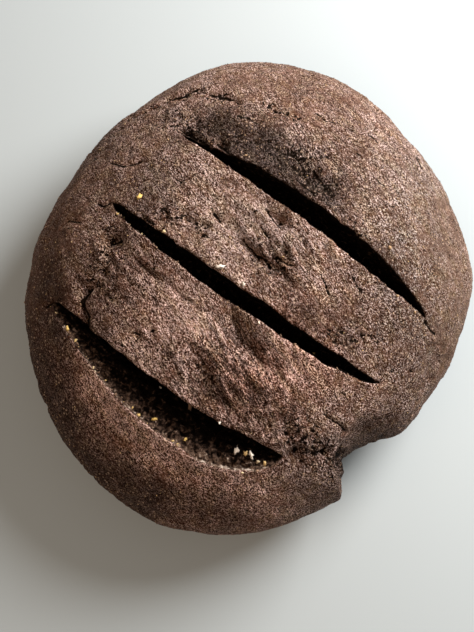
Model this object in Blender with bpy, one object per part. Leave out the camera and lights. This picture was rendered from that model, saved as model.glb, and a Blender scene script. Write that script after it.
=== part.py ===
"""A round rye loaf with three long slashes, baked on a flat stone.

The dough body is one rule: an outline seen from above, a side profile that runs from
the crown over the widest height and in to the flat base, and low crust relief laid on
both. Each slash is a blade that follows the dome and is cut out of it.
+X and +Y lie on the table, +Z is up, and the origin is the middle of the base.
"""
import math

import bpy
import bmesh
import numpy as np
from mathutils import Vector, noise

MM = 0.001

# Driving dimensions, in millimetres and degrees.
MEAN_RADIUS = 107.3          # at the widest height
LOAF_HEIGHT = 80.0
WIDEST_HEIGHT = 30.0
BASE_SHARE = 0.82            # the base edge's radius over the widest one
CROWN_POWER = 2.4            # 2 is an ellipse, more is a flatter crown
CELLS = 31                   # across each side of the body's net

# The outline's waves: how many lobes, how far they reach, where the first one peaks.
OUTLINE_WAVES = ((1, 1.2, -145.0), (2, 5.7, 67.6), (3, 1.6, -14.5), (4, 1.7, -8.3))

# The fold that dents the outline: it starts with a steep wall and fades away slowly.
FOLD_WALL = (-67.4, 3.6)     # where the wall starts, and its width
FOLD_LIP = (1.7, 5.5)        # how far the lobe beside it sticks out, and its width
FOLD_DEEP = (9.5, -59.0, -42.5)
FOLD_LONG = (4.2, -26.0, 4.0)
FOLD_REACH = (0.70, 1.0)     # shares of the radius between which the dent comes in

# Slashes: both ends in plan, how far each lip bows off the line between them (to the
# left of the way from start to end is positive), and the depth. A slash opens over a share
# of its length from the start, and each lip closes over one at the end, with a sharpness.
# The section goes from the right lip down to the floor and up to the left lip, in shares
# of the width and of the depth.
SLASHES = {
    "upper": {"start": (-31, 62), "end": (77, -22), "lips": (-0.6, 7.6), "depth": 18,
              "opens": (0.48, 1.6), "closes": ((0.35, 0.8), (0.35, 0.8)),
              "section": ((0.0, 0.0), (0.0, 0.3), (0.4, 1.0), (1.1, 1.0), (1.25, 0.5), (1.0, 0.0))},
    "middle": {"start": (-61, 30), "end": (55, -50), "lips": (-8.4, -2.4), "depth": 18,
               "opens": (0.50, 0.75), "closes": ((0.30, 0.6), (0.30, 0.6)),
               "section": ((0.0, 0.0), (0.0, 0.3), (0.4, 1.0), (1.1, 1.0), (1.2, 0.5), (1.0, 0.0))},
    "lower": {"start": (-88, -13), "end": (14.6, -81.8), "lips": (-19.9, -5.1), "depth": 18,
              "opens": (0.62, 1.05), "closes": ((0.26, 0.6), (0.45, 1.2)),
              "section": ((0.0, 0.0), (0.05, 0.13), (0.60, 0.42), (0.78, 1.0), (1.02, 1.0), (1.0, 0.0))},
}
STATIONS = 18                # sections along each blade
BLADE_ABOVE = 12.0           # how far a blade stands over the crust
TIP_WIDTH = 1.1              # how far open a slash is at once, past its very tip
LIP_SWELL = 1.0              # the crust lifts along both lips
LIP_REACH = 6.0

# Crust relief: creases and ridges along lines, then dents and swellings round points.
# Each line has its height (less than nothing is a groove), its half width and its run.
LINES = (
    (-2.6, 4.0, ((15, -83), (22, -80), (32, -80), (42, -81))),
    (-3.4, 3.8, ((-15, 20), (-3, 9), (5, 1), (13, -4), (21, -13))),
    (1.9, 3.6, ((-12, 30), (5, 21), (14, 13), (22, 5))),
    (-1.8, 3.2, ((4, 28), (10, 22), (15, 16))),
    (-3.6, 4.0, ((-10, -18), (-6.5, -28), (1, -39), (8, -48))),
    (-2.2, 3.6, ((-27, -36), (-21, -47), (-15, -55), (-8, -62))),
    (-1.4, 3.2, ((-62, 6), (-64, -2), (-71, -10), (-72, -25))),
    (1.3, 3.0, ((-68, 14), (-66, 7), (-67, -2), (-74, -9))),
    (-1.6, 3.4, ((-57, 78), (-42, 86), (-26, 87), (-5, 77))),
    (-1.2, 2.4, ((-55, 5), (-43, -3), (-34, -11), (-19, -22))),
    (1.2, 2.8, ((12, 49), (17, 42), (21, 35), (31, 28))),
)
# Each point has its height, its radius and its place.
POINTS = (
    (-3.0, 4.0, (-60, 13)),
    (-2.2, 4.0, (-71, -10)),
    (-2.0, 5.0, (9, 2)),
    (-2.4, 4.0, (13, 18)),
    (-3.2, 8.0, (-17, 63)),
    (-2.4, 8.0, (26, 38)),
    (-1.4, 4.0, (12, 75)),
    (-2.4, 3.4, (33, -80)),
    (-2.0, 3.4, (20, -79)),
    (2.6, 11.0, (16, -64)),
    (2.2, 14.0, (-32, 46)),
    (2.2, 15.0, (-30, -32)),
    (1.6, 12.0, (32, 12)),
    (-1.5, 7.0, (2, 60)),
)
WAVE_SIZES = ((26.0, 1.3), (11.0, 0.7))    # crust unevenness: wavelength, height
WANDER = ((14.0, 3.0), (5.0, 1.2))         # how creases leave their lines: wavelength, reach
TORN_SIZE = 8.0              # wavelength of the skin's torn and wrinkled unevenness
TORN_RISE = 0.8
RELIEF_FOOT = (2.0, 14.0)    # heights between which the relief fades in over the base

CRUST_COLOUR = (0.052, 0.030, 0.019, 1.0)
CRUST_ROUGHNESS = 0.82


def smooth_step(low, high, value):
    share = min(max((value - low) / (high - low), 0.0), 1.0)
    return share * share * (3.0 - 2.0 * share)


def bump(distance, radius):
    return math.exp(-(distance / radius) ** 2)


def outline_radius(angle):
    radius = MEAN_RADIUS
    for lobes, reach, peak in OUTLINE_WAVES:
        radius += reach * math.cos(lobes * (angle - math.radians(peak)))
    return radius


def fold_dent(angle):
    degrees = math.degrees(angle)
    wall_at, wall_width = FOLD_WALL
    lip, lip_width = FOLD_LIP
    deep, deep_from, deep_to = FOLD_DEEP
    long, long_from, long_to = FOLD_LONG
    depth = deep * (1.0 - smooth_step(deep_from, deep_to, degrees))
    depth += long * (1.0 - smooth_step(long_from, long_to, degrees))
    wall = math.tanh(max(degrees - wall_at, 0.0) / wall_width)
    return depth * wall - lip * bump(degrees - wall_at, lip_width)


def crown_height(share):
    """Height over the table at a share of the outline's radius, on the upper side."""
    dome = LOAF_HEIGHT - WIDEST_HEIGHT
    return WIDEST_HEIGHT + dome * math.sqrt(max(0.0, 1.0 - share ** CROWN_POWER))


def profile_table(steps=400):
    """Radius share and height against the way along the profile, crown to base edge."""
    radii = []
    heights = []
    for step in range(steps + 1):
        share = math.sin(0.5 * math.pi * step / steps)
        radii.append(share)
        heights.append(crown_height(share))
    for step in range(1, steps // 2 + 1):
        down = 2.0 * step / steps
        radii.append(1.0 - (1.0 - BASE_SHARE) * down * down)
        heights.append(WIDEST_HEIGHT * (1.0 - down))
    radii = np.array(radii)
    heights = np.array(heights)
    way = np.hypot(np.diff(radii * MEAN_RADIUS), np.diff(heights))
    way = np.concatenate(([0.0], np.cumsum(way)))
    return way / way[-1], radii, heights


def plain_point(share, height, angle):
    """A point of the body before its relief, from its radius share and height."""
    radius = outline_radius(angle) - fold_dent(angle) * smooth_step(*FOLD_REACH, share)
    return Vector((share * radius * math.cos(angle), share * radius * math.sin(angle), height))


def crown_point(x, y):
    """The point of the upper side straight over a place in plan."""
    angle = math.atan2(y, x)
    share = min(math.hypot(x, y) / outline_radius(angle), 1.0)
    return Vector((x, y, crown_height(share)))


def crown_normal(x, y, step=0.5):
    along_x = crown_point(x + step, y) - crown_point(x - step, y)
    along_y = crown_point(x, y + step) - crown_point(x, y - step)
    return along_x.cross(along_y).normalized()


def lens(slash, along, lip=0):
    """How far open a slash is on one lip's side, as a share, at a share of its length."""
    open_share = 1.0
    for way, (reach, sharpness) in ((along, slash["opens"]), (1.0 - along, slash["closes"][lip])):
        way = min(max(way / reach, 0.0), 1.0)
        open_share *= math.sin(0.5 * math.pi * way) ** sharpness
    return open_share


def slash_axes(slash):
    start = Vector(slash["start"])
    run = Vector(slash["end"]) - start
    length = run.length
    run.normalize()
    return start, run, Vector((-run.y, run.x)), length


def lip_lift(x, y):
    """Crust raised beside the slashes, highest at the lips."""
    lift = 0.0
    for slash in SLASHES.values():
        start, run, side, length = slash_axes(slash)
        offset = Vector((x, y)) - start
        along = offset.dot(run) / length
        if not 0.0 < along < 1.0:
            continue
        across = offset.dot(side)
        right_lip, left_lip = (bow * lens(slash, along, lip) for lip, bow in enumerate(slash["lips"]))
        beyond = max(right_lip - across, across - left_lip, 0.0)
        lift += LIP_SWELL * lens(slash, along) * bump(beyond, LIP_REACH)
    return lift


def line_field(place, run):
    """Distance from a line, and the share along it of its nearest point."""
    nearest = math.inf
    along = 0.0
    for leg, (first, last) in enumerate(zip(run, run[1:])):
        first = Vector(first)
        step = Vector(last) - first
        share = min(max((place - first).dot(step) / step.length_squared, 0.0), 1.0)
        distance = (place - first - share * step).length
        if distance < nearest:
            nearest = distance
            along = (leg + share) / (len(run) - 1)
    return nearest, along


def wandered(point):
    """The place in plan, moved about so that no crease is a ruled shape."""
    place = Vector((point.x, point.y))
    for wavelength, reach in WANDER:
        place.x += reach * noise.noise(point / wavelength + Vector((71.0, 71.0, 71.0)))
        place.y += reach * noise.noise(point / wavelength + Vector((83.0, 83.0, 83.0)))
    return place


def crust_relief(point):
    """Height of the crust over the plain body at a point of it."""
    height = lip_lift(point.x, point.y)
    place = wandered(point)
    for rise, half_width, run in LINES:
        distance, along = line_field(place, run)
        taper = 0.35 + 0.65 * math.sin(math.pi * along)
        height += rise * taper * bump(distance, half_width * (0.6 + 0.4 * taper))
    for rise, radius, middle in POINTS:
        height += rise * bump((place - Vector(middle)).length, radius)
    for wavelength, rise in WAVE_SIZES:
        height += rise * noise.noise(point / wavelength)
    height += TORN_RISE * (0.25 - abs(noise.noise(point / TORN_SIZE + Vector((53.0, 53.0, 53.0)))))
    return height * smooth_step(*RELIEF_FOOT, point.z)


def new_object(name, mesh_data, material=None):
    mesh = bpy.data.meshes.new(name)
    mesh_data.to_mesh(mesh)
    mesh_data.free()
    thing = bpy.data.objects.new(name, mesh)
    bpy.context.scene.collection.objects.link(thing)
    if material:
        mesh.materials.append(material)
    return thing


def crust_material():
    material = bpy.data.materials.new("dark_rye_crust")
    material.use_nodes = True
    shader = material.node_tree.nodes["Principled BSDF"]
    shader.inputs["Base Color"].default_value = CRUST_COLOUR
    shader.inputs["Roughness"].default_value = CRUST_ROUGHNESS
    shader.inputs["Metallic"].default_value = 0.0
    return material


def dough_body():
    """A gridded cube turned into the loaf: its underside becomes the flat base."""
    way, radii, heights = profile_table()
    body = bmesh.new()
    bmesh.ops.create_cube(body, size=2.0)
    bmesh.ops.subdivide_edges(body, edges=body.edges[:], cuts=CELLS - 1, use_grid_fill=True)
    underside = [face for face in body.faces if face.calc_center_median().z < -0.999]
    bmesh.ops.dissolve_faces(body, faces=underside, use_verts=False)
    for vertex in body.verts:
        direction = Vector(math.tan(c * math.pi / 4.0) for c in vertex.co)
        angle = math.atan2(direction.y, direction.x)
        tilt = math.atan2(math.hypot(direction.x, direction.y), direction.z)
        edge = math.pi - math.atan(1.0 / max(abs(math.cos(angle)), abs(math.sin(angle))))
        along = min(tilt / edge, 1.0)
        share = float(np.interp(along, way, radii))
        height = float(np.interp(along, way, heights))
        vertex.co = plain_point(share, height, angle)
    body.normal_update()
    lifts = [vertex.normal * crust_relief(vertex.co) for vertex in body.verts]
    for vertex, lift in zip(body.verts, lifts):
        vertex.co += lift
    return body


def blade(slash):
    """A closed cutter: sections across the slash, from over the crust to its floor."""
    start, run, side, length = slash_axes(slash)
    cutter = bmesh.new()
    rings = []
    for station in range(STATIONS + 1):
        along = 0.5 - 0.5 * math.cos(math.pi * station / STATIONS)
        on_line = start + run * (length * along)
        lips = []
        for lip, spare in enumerate((-TIP_WIDTH, TIP_WIDTH)):
            plan = on_line + side * (slash["lips"][lip] * lens(slash, along, lip) + 0.5 * spare)
            lips.append(crown_point(plan.x, plan.y))
        across = lips[1] - lips[0]
        middle = 0.5 * (lips[0] + lips[1])
        down = -crown_normal(middle.x, middle.y)
        depth = slash["depth"] * (0.25 + 0.75 * math.sin(math.pi * along) ** 0.5)
        ring = [cutter.verts.new(lips[0] - down * BLADE_ABOVE)]
        for width_share, depth_share in slash["section"]:
            ring.append(cutter.verts.new(lips[0] + across * width_share + down * depth * depth_share))
        ring.append(cutter.verts.new(lips[1] - down * BLADE_ABOVE))
        rings.append(ring)
    count = len(rings[0])
    for ring, following in zip(rings, rings[1:]):
        for i in range(count):
            j = (i + 1) % count
            cutter.faces.new((ring[i], ring[j], following[j], following[i]))
    cutter.faces.new(rings[0][::-1])
    cutter.faces.new(rings[-1])
    bmesh.ops.triangulate(cutter, faces=cutter.faces[:])
    bmesh.ops.recalc_face_normals(cutter, faces=cutter.faces[:])
    return cutter


def centre_on_base(body):
    """Moves the body so that the middle of its box stands over the origin."""
    low = Vector(min(vertex.co[axis] for vertex in body.verts) for axis in range(3))
    high = Vector(max(vertex.co[axis] for vertex in body.verts) for axis in range(3))
    middle = 0.5 * (low + high)
    shift = Vector((-middle.x, -middle.y, -low.z))
    bmesh.ops.translate(body, verts=body.verts[:], vec=shift)
    return shift


def build_loaf():
    body = dough_body()
    shift = centre_on_base(body)
    bmesh.ops.scale(body, vec=(MM, MM, MM), verts=body.verts[:])
    loaf = new_object("loaf", body, crust_material())
    for name, slash in SLASHES.items():
        cutter = blade(slash)
        bmesh.ops.translate(cutter, verts=cutter.verts[:], vec=shift)
        bmesh.ops.scale(cutter, vec=(MM, MM, MM), verts=cutter.verts[:])
        guide = new_object(f"{name}_slash_blade", cutter)
        guide.hide_render = True
        guide.display_type = 'WIRE'
        cut = loaf.modifiers.new(f"{name}_slash", 'BOOLEAN')
        cut.operation = 'DIFFERENCE'
        cut.solver = 'EXACT'
        cut.object = guide
    loaf.data.shade_smooth()
    loaf.data.set_sharp_from_angle(angle=math.radians(50))


def main():
    for thing in list(bpy.data.objects):
        bpy.data.objects.remove(thing, do_unlink=True)
    build_loaf()


main()
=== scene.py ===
import math
import random

import bpy
import numpy as np
from mathutils import Euler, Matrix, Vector, noise
from mathutils.bvhtree import BVHTree


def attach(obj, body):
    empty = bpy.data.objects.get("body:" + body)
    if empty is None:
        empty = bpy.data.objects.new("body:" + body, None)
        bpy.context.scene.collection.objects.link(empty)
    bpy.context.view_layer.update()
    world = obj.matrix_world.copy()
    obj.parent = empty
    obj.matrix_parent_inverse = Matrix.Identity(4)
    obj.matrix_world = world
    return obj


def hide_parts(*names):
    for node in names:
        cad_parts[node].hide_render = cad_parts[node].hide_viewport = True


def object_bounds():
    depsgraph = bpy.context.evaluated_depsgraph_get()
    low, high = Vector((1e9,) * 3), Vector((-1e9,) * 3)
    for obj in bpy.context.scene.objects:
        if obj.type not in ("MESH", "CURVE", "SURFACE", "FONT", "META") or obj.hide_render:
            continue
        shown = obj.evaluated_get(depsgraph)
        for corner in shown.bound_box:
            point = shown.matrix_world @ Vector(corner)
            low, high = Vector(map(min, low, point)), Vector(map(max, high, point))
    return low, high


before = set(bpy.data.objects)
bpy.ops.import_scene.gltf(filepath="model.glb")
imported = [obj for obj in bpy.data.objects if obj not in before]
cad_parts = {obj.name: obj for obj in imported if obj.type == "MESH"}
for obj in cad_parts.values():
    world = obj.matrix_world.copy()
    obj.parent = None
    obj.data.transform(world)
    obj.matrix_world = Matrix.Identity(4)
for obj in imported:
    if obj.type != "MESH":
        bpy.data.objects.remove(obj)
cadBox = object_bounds()
print("frame loaded")

mm = 0.001

loaf = {
    "meanRadius": 107.3,
    "height": 80.0,
    "widestHeight": 30.0,
    "baseShare": 0.82,                    # the base edge's radius over the widest one
    "crownPower": 2.4,                    # 2 is an ellipse, more is a flatter crown
    "outlineWaves": ((1, 1.2, -145.0), (2, 5.7, 67.6), (3, 1.6, -14.5), (4, 1.7, -8.3)),
    "foldWall": (-67.4, 3.6),             # angle where the fold's steep side starts, and its width
    "foldLip": (1.7, 5.5),                # how far the lobe beside it sticks out, and its width
    "foldDeep": (9.5, -59.0, -42.5),      # depth, then the angles where it fades
    "foldLong": (4.2, -26.0, 4.0),
    "foldReach": (0.70, 1.0),             # radius shares between which the fold fades in
    "waves": ((26.0, 1.3), (11.0, 0.7)),  # broad unevenness: wavelength, height
    "reliefFoot": (2.0, 14.0),            # heights between which the relief fades in
    "crackFoot": (22.0, 34.0),            # the same for cracks and pits, drawn in plan
    "lipSwell": 1.0,
    "lipReach": 6.0,
    "tipReach": 0.03,
    "warp": ((14.0, 3.0), (5.0, 1.2)),    # how forms wander off their lines: wavelength, reach
}

# Lips bow to the right and to the left of the way from start to end, and each rolls down
# into the cut by a drop over a reach. The section goes from the right lip down and up to
# the left one, in shares of the width and the depth, and shelf says how much of the right
# wall's torn crumb sees light. A slash opens over a share of its length and each lip closes
# over one, and its tips say how far open it is at once past its start and its end. The lips' edges are paler
# than the crust by shares: pale torn crumb together with a painted highlight, mostly on the right lips,
# which face the light.
slashes = {
    "lower": {"start": (-88, -13), "end": (14.6, -81.8), "lips": (-19.9, -5.1), "depth": 18,
              "tips": (4.0, 0.9),
              "opens": (0.62, 1.05), "closes": ((0.26, 0.6), (0.45, 1.2)),
              "roll": ((0.2, 0.7), (0.4, 0.9)), "paleAndLitLips": (0.8, 0.0), "shelf": 1.2,
              "section": ((0.0, 0.0), (0.05, 0.13), (0.60, 0.42), (0.78, 1.0), (1.02, 1.0), (1.0, 0.0))},
    "middle": {"start": (-61, 30), "end": (55, -50), "lips": (-8.4, -2.4), "depth": 18,
               "tips": (2.8, 0.7),
               "opens": (0.50, 0.75), "closes": ((0.30, 0.6), (0.30, 0.6)),
               "roll": ((0.2, 0.7), (0.5, 1.0)), "paleAndLitLips": (0.6, 0.1), "shelf": 0.0,
              "section": ((0.0, 0.0), (0.0, 0.3), (0.4, 1.0), (1.1, 1.0), (1.2, 0.5), (1.0, 0.0))},
    "upper": {"start": (-31, 62), "end": (77, -22), "lips": (-0.6, 7.6), "depth": 18,
              "tips": (2.4, 0.9),
              "opens": (0.48, 1.6), "closes": ((0.35, 0.8), (0.35, 0.8)),
              "roll": ((0.2, 0.8), (0.6, 1.2)), "paleAndLitLips": (0.4, 0.0), "shelf": 0.0,
              "section": ((0.0, 0.0), (0.0, 0.3), (0.4, 1.0), (1.1, 1.0), (1.25, 0.5), (1.0, 0.0))},
}

net = {
    "turn": -36.0,                # the net's columns run along the slashes
    "columns": 288,
    "columnCrowding": 0.30,
    "rows": (70, 58, 52, 100),    # under the lower slash, between the slashes, over the upper one
    "rowCrowding": 0.42,
    "wallRows": 34,
    "profileSteps": 400,
    "baseRings": (0.985, 0.95, 0.86, 0.62),
}


def smoothStep(low, high, value):
    share = np.clip((value - low) / (high - low), 0.0, 1.0)
    return share * share * (3.0 - 2.0 * share)


def bump(distance, radius):
    return np.exp(-(distance / radius) ** 2)


def noiseAt(points, wavelength, shift=0.0):
    return np.array([noise.noise(place) for place in (points / wavelength + shift).tolist()])


def outlineRadius(angle):
    radius = np.full_like(angle, loaf["meanRadius"])
    for lobes, reach, peak in loaf["outlineWaves"]:
        radius = radius + reach * np.cos(lobes * (angle - math.radians(peak)))
    return radius


def foldDent(angle):
    degrees = np.degrees(angle)
    wallAt, wallWidth = loaf["foldWall"]
    lip, lipWidth = loaf["foldLip"]
    deep, deepFrom, deepTo = loaf["foldDeep"]
    long, longFrom, longTo = loaf["foldLong"]
    depth = deep * (1.0 - smoothStep(deepFrom, deepTo, degrees))
    depth = depth + long * (1.0 - smoothStep(longFrom, longTo, degrees))
    wall = np.tanh(np.maximum(degrees - wallAt, 0.0) / wallWidth)
    return depth * wall - lip * bump(degrees - wallAt, lipWidth)


def crownHeight(share):
    dome = loaf["height"] - loaf["widestHeight"]
    return loaf["widestHeight"] + dome * np.sqrt(np.maximum(0.0, 1.0 - share ** loaf["crownPower"]))


def profileTable():
    # radius share and height, evenly along the side profile from the crown to the base edge
    steps = net["profileSteps"]
    upper = np.sin(0.5 * math.pi * np.arange(steps + 1) / steps)
    down = 2.0 * np.arange(1, steps // 2 + 1) / steps
    shares = np.concatenate((upper, 1.0 - (1.0 - loaf["baseShare"]) * down * down))
    heights = np.concatenate((crownHeight(upper), loaf["widestHeight"] * (1.0 - down)))
    way = np.hypot(np.diff(shares * loaf["meanRadius"]), np.diff(heights))
    way = np.concatenate(([0.0], np.cumsum(way)))
    return way / way[-1], shares, heights, way[-1]


profileWay, profileShares, profileHeights, profileLength = profileTable()
netTurn = math.radians(net["turn"])


def squareToDisc(across, up):
    return across * np.sqrt(1.0 - 0.5 * up * up), up * np.sqrt(1.0 - 0.5 * across * across)


def discToSquare(x, y):
    root = 2.0 * math.sqrt(2.0)
    wide = 2.0 + x * x - y * y
    tall = 2.0 - x * x + y * y
    right, left = (np.sqrt(np.maximum(wide + way * root * x, 0.0)) for way in (1.0, -1.0))
    over, under = (np.sqrt(np.maximum(tall + way * root * y, 0.0)) for way in (1.0, -1.0))
    return 0.5 * (right - left), 0.5 * (over - under)


def bodyPoint(across, up):
    # a point of the plain body from its place in the square net
    x, y = squareToDisc(across, up)
    along = np.minimum(np.hypot(x, y), 1.0)
    angle = np.arctan2(y, x) + netTurn
    angle = np.arctan2(np.sin(angle), np.cos(angle))
    share = np.interp(along, profileWay, profileShares)
    height = np.interp(along, profileWay, profileHeights)
    dent = foldDent(angle) * smoothStep(*loaf["foldReach"], share)
    radius = share * (outlineRadius(angle) - dent)
    return np.stack((radius * np.cos(angle), radius * np.sin(angle), height), axis=-1)


def bodyNormal(across, up, step=0.002):
    inner = 1.0 - 2.0 * step
    across = np.clip(across, -inner, inner)
    up = np.clip(up, -inner, inner)
    alongRow = bodyPoint(across + step, up) - bodyPoint(across - step, up)
    alongColumn = bodyPoint(across, up + step) - bodyPoint(across, up - step)
    normal = np.cross(alongRow, alongColumn)
    return normal / np.linalg.norm(normal, axis=-1, keepdims=True)


def planToSquare(x, y):
    # the net's place of a point of the crown, seen from above
    angle = np.arctan2(y, x)
    share = np.minimum(np.hypot(x, y) / outlineRadius(angle), 1.0)
    upper = net["profileSteps"] + 1
    along = np.interp(share, profileShares[:upper], profileWay[:upper])
    return discToSquare(along * np.cos(angle - netTurn), along * np.sin(angle - netTurn))


def slashAxes(slash):
    start = np.array(slash["start"], float)
    run = np.array(slash["end"], float) - start
    length = np.hypot(*run)
    run = run / length
    return start, run, np.array((-run[1], run[0])), length


def lens(slash, along, lip=0):
    # how far open a slash is on one lip's side, as a share, nothing beyond its ends
    openShare = np.ones_like(along)
    for way, (reach, sharpness) in ((along, slash["opens"]), (1.0 - along, slash["closes"][lip])):
        openShare = openShare * np.sin(0.5 * math.pi * np.clip(way / reach, 0.0, 1.0)) ** sharpness
    return openShare


def lipRow(slash, lip, columns, samples=240):
    # one lip's place in the net at every column; it is a little ragged
    seed = (-3.0, 7.0)[lip]
    start, run, side, length = slashAxes(slash)
    along = np.linspace(0.0, 1.0, samples)
    line = start + np.outer(along, run) * length
    openShare = lens(slash, along, lip)
    flat = np.column_stack((line, np.full(samples, seed)))
    ragged = 0.9 * noiseAt(flat, 9.0, seed) + 0.5 * noiseAt(flat, 3.2, seed)
    tip = 0.5 * np.interp(along, (0.0, 1.0), slash["tips"])
    tip = tip * np.clip(np.minimum(along, 1.0 - along) / loaf["tipReach"], 0.0, 1.0)
    offset = slash["lips"][lip] * openShare + (-tip, tip)[lip]
    edge = line + np.outer(offset + ragged * np.minimum(openShare * 1.5, 1.0), side)
    across, up = planToSquare(edge[:, 0], edge[:, 1])
    first = int(np.argmin(np.abs(columns - across[0])))
    last = int(np.argmin(np.abs(columns - across[-1])))
    across = across + (columns[first] - across[0]) * (1.0 - along) + (columns[last] - across[-1]) * along
    order = np.argsort(across)
    return np.interp(columns, across[order], up[order]), first, last


def cutPlan(slash, columns):
    # both lips' rows, the columns where the cut starts and ends, and the share along it
    low, first, last = lipRow(slash, 0, columns)
    high = lipRow(slash, 1, columns)[0]
    share = np.clip((columns - columns[first]) / (columns[last] - columns[first]), 0.0, 1.0)
    middle = 0.5 * (low + high)
    closed = (share <= 0.0) | (share >= 1.0)
    low = np.where(closed, middle, low)
    high = np.where(closed, middle, np.maximum(high, low))
    return {"low": low, "high": high, "first": first, "last": last, "share": share,
            "open": np.where(closed, 0.0, lens(slash, share))}


def netRows():
    # every row of the net from the bottom to the top, with two rows at each slash
    t = np.linspace(-1.0, 1.0, net["columns"] + 1)
    columns = t * (1.0 - net["columnCrowding"]) + net["columnCrowding"] * t ** 3
    cuts = {name: cutPlan(slash, columns) for name, slash in slashes.items()}
    floors = [np.full_like(columns, -1.0)] + [cut["high"] for cut in cuts.values()]
    ceilings = [cut["low"] for cut in cuts.values()] + [np.full_like(columns, 1.0)]
    crowd = net["rowCrowding"]
    rows = []
    for band, count in enumerate(net["rows"]):
        share = np.linspace(0.0, 1.0, count + 1)
        if band == 0:
            share = share * (1.0 + crowd) - crowd * share ** 2
        if band == len(net["rows"]) - 1:
            share = share * (1.0 - crowd) + crowd * share ** 2
        rows.extend(floors[band] + part * (ceilings[band] - floors[band]) for part in share)
        if band < len(cuts):
            cuts[list(cuts)[band]]["row"] = len(rows) - 1
    return columns, np.array(rows), cuts


# Broad forms along lines: height, half width, run.
forms = (
    (-2.2, 3.4, ((15, -83), (22, -80), (32, -80), (42, -81))),
    (-3.4, 3.6, ((-15, 20), (-3, 9), (5, 1), (13, -4), (21, -13))),
    (1.9, 3.6, ((-12, 30), (5, 21), (14, 13), (22, 5))),
    (-1.8, 2.8, ((4, 28), (10, 22), (15, 16))),
    (-4.6, 4.2, ((-10, -18), (-6.5, -28), (1, -39), (8, -48))),
    (-1.2, 3.0, ((-62, 6), (-64, -2), (-71, -10), (-72, -25))),
    (1.3, 2.6, ((-68, 14), (-66, 7), (-67, -2), (-74, -9))),
    (-1.3, 3.4, ((-57, 78), (-42, 86), (-26, 87), (-5, 77))),
    (-3.0, 3.6, ((-27, -36), (-21, -47), (-15, -55), (-8, -62))),
    (1.2, 2.4, ((12, 49), (17, 42), (21, 35))),
    (1.1, 2.2, ((24, 34), (31, 28))),
    (-1.0, 1.8, ((-55, 5), (-43, -3), (-34, -11), (-19, -22))),
)
# Swellings and dents: height, radius, place.
swellings = (
    (-2.0, 4.0, (-60, 13)),
    (-1.6, 4.0, (-71, -10)),
    (-1.8, 5.0, (9, 2)),
    (-2.2, 4.0, (13, 18)),
    (-3.2, 8.0, (-17, 63)),
    (-2.4, 8.0, (26, 38)),
    (-1.2, 3.6, (12, 75)),
    (2.6, 11.0, (16, -64)),
    (2.2, 14.0, (-32, 46)),
    (2.2, 15.0, (-30, -32)),
    (1.6, 12.0, (32, 12)),
    (-1.5, 7.0, (2, 60)),
)
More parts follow.
